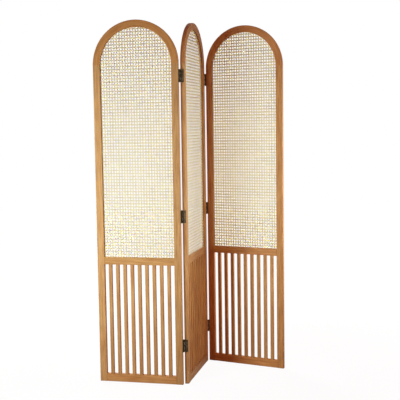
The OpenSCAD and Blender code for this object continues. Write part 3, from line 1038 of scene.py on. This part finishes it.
class SCREEN_OT_set_stage(bpy.types.Operator):
    """Sets the pale floor, the white surroundings, the soft lamps and the camera"""

    bl_idname = "screen.set_stage"
    bl_label = "Set Stage"

    def execute(self, context):
        stage = context.scene.screen_stage
        context.scene.view_settings.view_transform = "Standard"
        self.floor()
        self.surroundings(context.scene, stage)
        for name, setting in LAMPS.items():
            light = self.lamp(f"{name} lamp", *setting)
            light.energy = getattr(stage, f"{name}_power")
            if name == "key":
                light.color = stage.key_colour
        self.camera(context.scene)
        return {"FINISHED"}

    def shown_directly(self, tree):
        """1 for what the camera sees, also in a shiny surface or through glass, else 0."""
        path = add_node(tree, "ShaderNodeLightPath")
        first = add_node(
            tree,
            "ShaderNodeMath",
            {0: path.outputs["Is Camera Ray"], 1: path.outputs["Is Glossy Ray"]},
            operation="MAXIMUM",
        ).outputs[0]
        return add_node(
            tree,
            "ShaderNodeMath",
            {0: first, 1: path.outputs["Is Transmission Ray"]},
            operation="MAXIMUM",
        ).outputs[0]

    def floor(self):
        """A seamless white floor, flat tiles in a square, that keeps the screen's soft shadow.

        Its own white grows from the screen outwards, so that it has no edge against the sky. To
        the rest of the light it is a warm tan, as the boards of a room are.
        """
        row = FLOOR_TILES + 1
        ticks = np.linspace(-FLOOR_REACH, FLOOR_REACH, row)
        x, y = np.meshgrid(ticks, ticks)
        # It lies a hair below the feet, so that no face of theirs falls together with it.
        verts = np.stack([x.ravel(), y.ravel(), np.full(x.size, -0.4 * MM)], axis=1)
        corner = (np.arange(FLOOR_TILES)[:, None] * row + np.arange(FLOOR_TILES)).ravel()
        faces = np.stack([corner, corner + 1, corner + row + 1, corner + row], axis=1)
        piece = add_mesh("studio_floor", verts, faces, smooth=False)
        material, tree, output = empty_material("painted white floor")
        # Seen directly, most of the white is its own, and the rest takes the shadow.
        at = add_node(tree, "ShaderNodeTexCoord").outputs["Object"]
        away = add_node(tree, "ShaderNodeVectorMath", {0: at}, operation="LENGTH").outputs["Value"]
        whiteness = add_node(
            tree,
            "ShaderNodeMapRange",
            {"Value": away, "From Min": 0.9, "From Max": 2.2, "To Min": 0.95, "To Max": 1.0},
            clamp=True,
        ).outputs["Result"]
        glow = add_node(
            tree, "ShaderNodeEmission", {"Color": (1.0, 1.0, 1.0, 1.0), "Strength": whiteness}
        )
        grey = (*linear("#595959"), 1.0)
        shaded = add_node(tree, "ShaderNodeBsdfDiffuse", {"Color": grey})
        seen = add_node(tree, "ShaderNodeAddShader", {0: glow.outputs[0], 1: shaded.outputs[0]})
        warm = (*linear("#AA7C6C"), 1.0)
        bounce = add_node(tree, "ShaderNodeBsdfDiffuse", {"Color": warm})
        surface = add_node(
            tree,
            "ShaderNodeMixShader",
            {0: self.shown_directly(tree), 1: bounce.outputs[0], 2: seen.outputs[0]},
        )
        tree.links.new(surface.outputs[0], output.inputs["Surface"])
        piece.data.materials.append(material)

    def surroundings(self, scene, stage):
        """An even sky: white where it is seen, and weaker where it lights."""
        world = bpy.data.worlds.new("white studio")
        world.use_nodes = True
        tree = world.node_tree
        tree.nodes.clear()
        output = add_node(tree, "ShaderNodeOutputWorld")
        lit = add_node(
            tree, "ShaderNodeBackground", {"Color": (*stage.sky_colour, 1.0), "Strength": stage.sky}
        )
        seen = add_node(
            tree, "ShaderNodeBackground", {"Color": (1.0, 1.0, 1.0, 1.0), "Strength": 1.0}
        )
        surface = add_node(
            tree,
            "ShaderNodeMixShader",
            {0: self.shown_directly(tree), 1: lit.outputs[0], 2: seen.outputs[0]},
        )
        tree.links.new(surface.outputs[0], output.inputs["Surface"])
        scene.world = world

    def lamp(self, name, place, target, side, spread):
        """A square soft lamp that faces its target, with a grid that narrows its spread."""
        light = bpy.data.lights.new(name, "AREA")
        light.shape = "SQUARE"
        light.size = side
        light.spread = math.radians(spread)
        made = bpy.data.objects.new(name, light)
        made.location = place
        aim = np.subtract(target, place)
        flat = math.hypot(aim[0], aim[1])
        made.rotation_euler = (
            math.pi / 2 + math.atan2(aim[2], flat),
            0.0,
            math.atan2(aim[1], aim[0]) - math.pi / 2,
        )
        made.visible_camera = False
        bpy.context.scene.collection.objects.link(made)
        return light

    def camera(self, scene):
        """The photograph's viewpoint: 1.35 m up, 4.5 m in front, turned a little down."""
        lens = bpy.data.cameras.new("camera")
        lens.sensor_width = SENSOR_MM
        lens.lens = FOCAL_PX * SENSOR_MM / PHOTO_PX
        made = bpy.data.objects.new("camera", lens)
        turn = Matrix.Rotation(math.radians(CAMERA_HEADING), 4, "Z")
        tilt = Matrix.Rotation(math.radians(90 - CAMERA_DOWN), 4, "X")
        roll = Matrix.Rotation(math.radians(CAMERA_ROLL), 4, "Z")
        made.matrix_world = Matrix.Translation(CAMERA_PLACE) @ turn @ tilt @ roll
        scene.collection.objects.link(made)
        scene.camera = made


class SCREEN_PT_sidebar(bpy.types.Panel):
    """Lists the steps that dress the folding screen"""

    bl_idname = "SCREEN_PT_sidebar"
    bl_label = "Folding Screen"
    bl_space_type = "VIEW_3D"
    bl_region_type = "UI"
    bl_category = "Folding Screen"

    def draw(self, context):
        layout = self.layout
        groups = (
            (context.scene.screen_cane, ("weave_cane",)),
            (context.scene.screen_wood, ("finish_frame", "finish_slats", "finish_dowels")),
            (context.scene.screen_metal, ("make_screws", "finish_hinges")),
            (context.scene.screen_stage, ("set_stage",)),
        )
        for settings, steps in groups:
            box = layout.box()
            for name in settings.__annotations__:
                box.prop(settings, name)
            for step in steps:
                box.operator(f"screen.{step}")


SETTINGS = {
    "screen_cane": CaneSettings,
    "screen_wood": WoodSettings,
    "screen_metal": MetalSettings,
    "screen_stage": StageSettings,
}
OPERATORS = (
    SCREEN_OT_weave_cane,
    SCREEN_OT_make_screws,
    SCREEN_OT_finish_frame,
    SCREEN_OT_finish_slats,
    SCREEN_OT_finish_dowels,
    SCREEN_OT_finish_hinges,
    SCREEN_OT_set_stage,
)


def register():
    """Registers the settings, the operators and the sidebar panel."""
    for name, group in SETTINGS.items():
        bpy.utils.register_class(group)
        setattr(bpy.types.Scene, name, PointerProperty(type=group))
    for operator in OPERATORS:
        bpy.utils.register_class(operator)
    bpy.utils.register_class(SCREEN_PT_sidebar)


def unregister():
    """Removes what register added, in the opposite order."""
    bpy.utils.unregister_class(SCREEN_PT_sidebar)
    for operator in reversed(OPERATORS):
        bpy.utils.unregister_class(operator)
    for name, group in reversed(SETTINGS.items()):
        delattr(bpy.types.Scene, name)
        bpy.utils.unregister_class(group)


def main():
    register()
    bpy.ops.screen.weave_cane()
    bpy.ops.screen.make_screws()
    bpy.ops.screen.finish_frame()
    bpy.ops.screen.finish_slats()
    bpy.ops.screen.finish_dowels()
    bpy.ops.screen.finish_hinges()
    bpy.ops.screen.set_stage()


if __name__ == "__main__":
    main()
